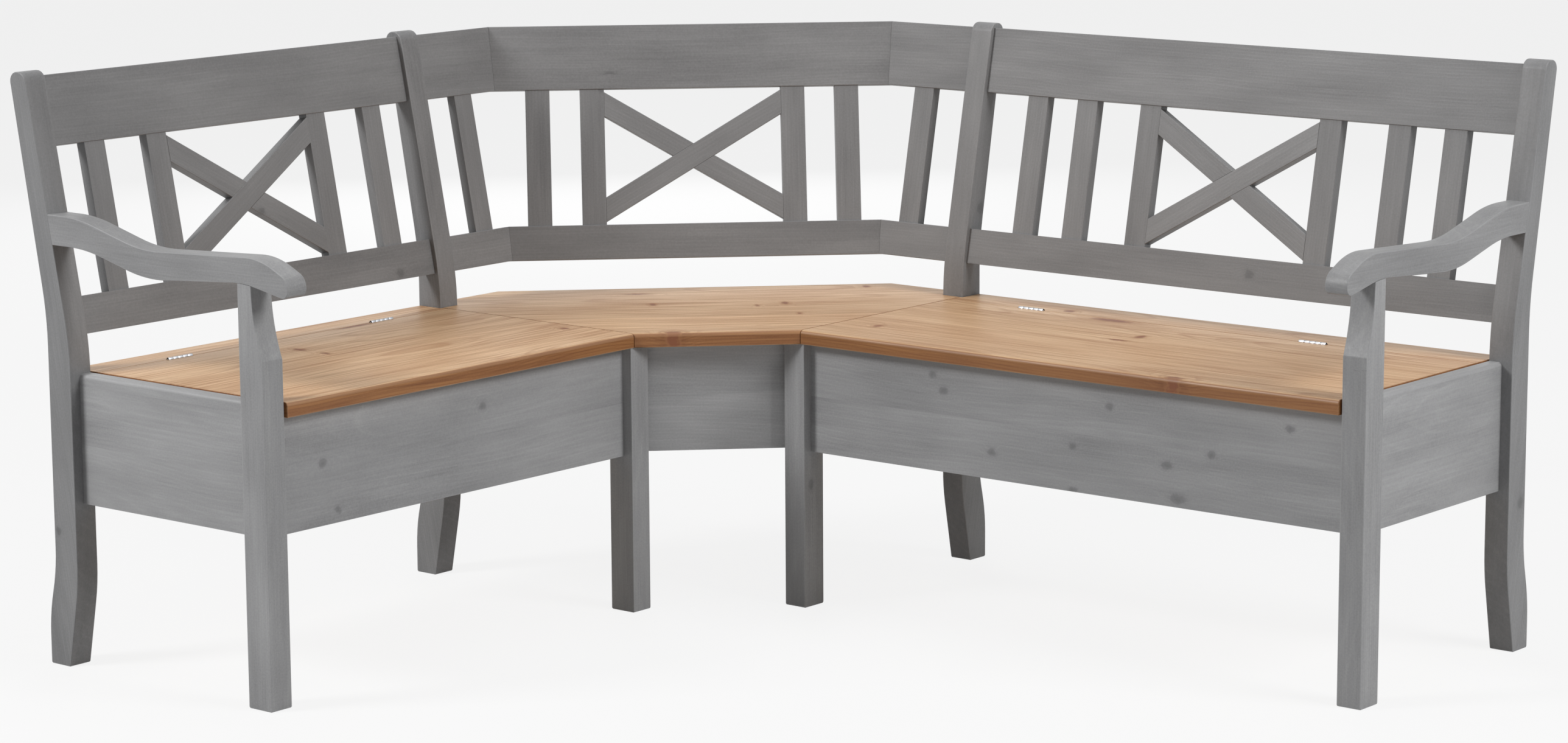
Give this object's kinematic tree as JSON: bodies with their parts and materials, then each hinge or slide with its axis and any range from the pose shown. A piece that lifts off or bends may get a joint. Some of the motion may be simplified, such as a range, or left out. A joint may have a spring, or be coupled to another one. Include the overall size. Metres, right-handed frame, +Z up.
{
  "type": "corner storage bench",
  "caption": "Corner bench with lidded box seats joined by a 45 degree corner seat, crossed-bar backrests, kicked back posts and scrolled arms.",
  "frame": {"origin": "centre of the whole bench's bounding box, on the floor", "axes": "+X along the long bench away from the corner, +Y towards its back, +Z up; the short bench runs along -Y at the -X end"},
  "size_m": [1.7874, 1.5404, 0.916],
  "materials": {
    "grey_stained_pine": "pine with a grey translucent stain, fine grain and faint knots showing, satin",
    "oiled_pine": "natural pine, oiled, edge-glued boards with reddish-brown knots, satin",
    "raw_pine": "planed pine, unfinished",
    "pine_plywood": "pine plywood, unfinished",
    "beech_dowel": "turned beech",
    "zinc_plated_steel": "bright zinc plating"
  },
  "bodies": {
    "frame": {"bottom_cleats": "raw_pine", "corner_apron": "grey_stained_pine", "corner_back_slats": "grey_stained_pine", "corner_back_stiles": "grey_stained_pine", "corner_cross_falling_bar": "grey_stained_pine", "corner_cross_rising_bar": "grey_stained_pine", "corner_lower_rail": "grey_stained_pine", "corner_lower_rail_long_return": "grey_stained_pine", "corner_lower_rail_short_return": "grey_stained_pine", "corner_seat": "oiled_pine", "corner_seat_bearers": "raw_pine", "corner_top_rail": "grey_stained_pine", "corner_top_rail_long_return": "grey_stained_pine", "corner_top_rail_short_return": "grey_stained_pine", "dowels": "beech_dowel", "fixed_screws": "zinc_plated_steel", "hinge_fixed_leaves": "zinc_plated_steel", "hinge_pins": "zinc_plated_steel", "long_armrest": "grey_stained_pine", "long_back_slats": "grey_stained_pine", "long_back_stiles": "grey_stained_pine", "long_bottom_panel": "pine_plywood", "long_cross_falling_bar": "grey_stained_pine", "long_cross_rising_bar": "grey_stained_pine", "long_front_panel": "grey_stained_pine", "long_hinge_strip": "oiled_pine", "long_inner_end_panel": "grey_stained_pine", "long_inner_leg": "grey_stained_pine", "long_inner_post": "grey_stained_pine", "long_lower_rail": "grey_stained_pine", "long_outer_end_panel": "grey_stained_pine", "long_outer_leg": "grey_stained_pine", "long_outer_post": "grey_stained_pine", "long_rear_panel": "grey_stained_pine", "long_top_rail": "grey_stained_pine", "short_armrest": "grey_stained_pine", "short_back_slats": "grey_stained_pine", "short_back_stiles": "grey_stained_pine", "short_bottom_panel": "pine_plywood", "short_cross_falling_bar": "grey_stained_pine", "short_cross_rising_bar": "grey_stained_pine", "short_front_panel": "grey_stained_pine", "short_hinge_strip": "oiled_pine", "short_inner_end_panel": "grey_stained_pine", "short_inner_leg": "grey_stained_pine", "short_inner_post": "grey_stained_pine", "short_lower_rail": "grey_stained_pine", "short_outer_end_panel": "grey_stained_pine", "short_outer_leg": "grey_stained_pine", "short_outer_post": "grey_stained_pine", "short_rear_panel": "grey_stained_pine", "short_top_rail": "grey_stained_pine"},
    "short_lid": {"short_lid": "oiled_pine", "short_lid_battens": "raw_pine", "short_lid_hinge_leaves": "zinc_plated_steel", "short_lid_screws": "zinc_plated_steel"},
    "long_lid": {"long_lid": "oiled_pine", "long_lid_battens": "raw_pine", "long_lid_hinge_leaves": "zinc_plated_steel", "long_lid_screws": "zinc_plated_steel"}
  },
  "joints": [
    {"name": "short_lid_hinge", "type": "hinge", "parent": "frame", "child": "short_lid", "pos_m": [-0.76533, -0.34367, 0.46], "axis": [0, -1, 0], "range_deg": [0, 101]},
    {"name": "long_lid_hinge", "type": "hinge", "parent": "frame", "child": "long_lid", "pos_m": [0.34392, 0.62333, 0.46], "axis": [-1, 0, 0], "range_deg": [0, 104]}
  ]
}
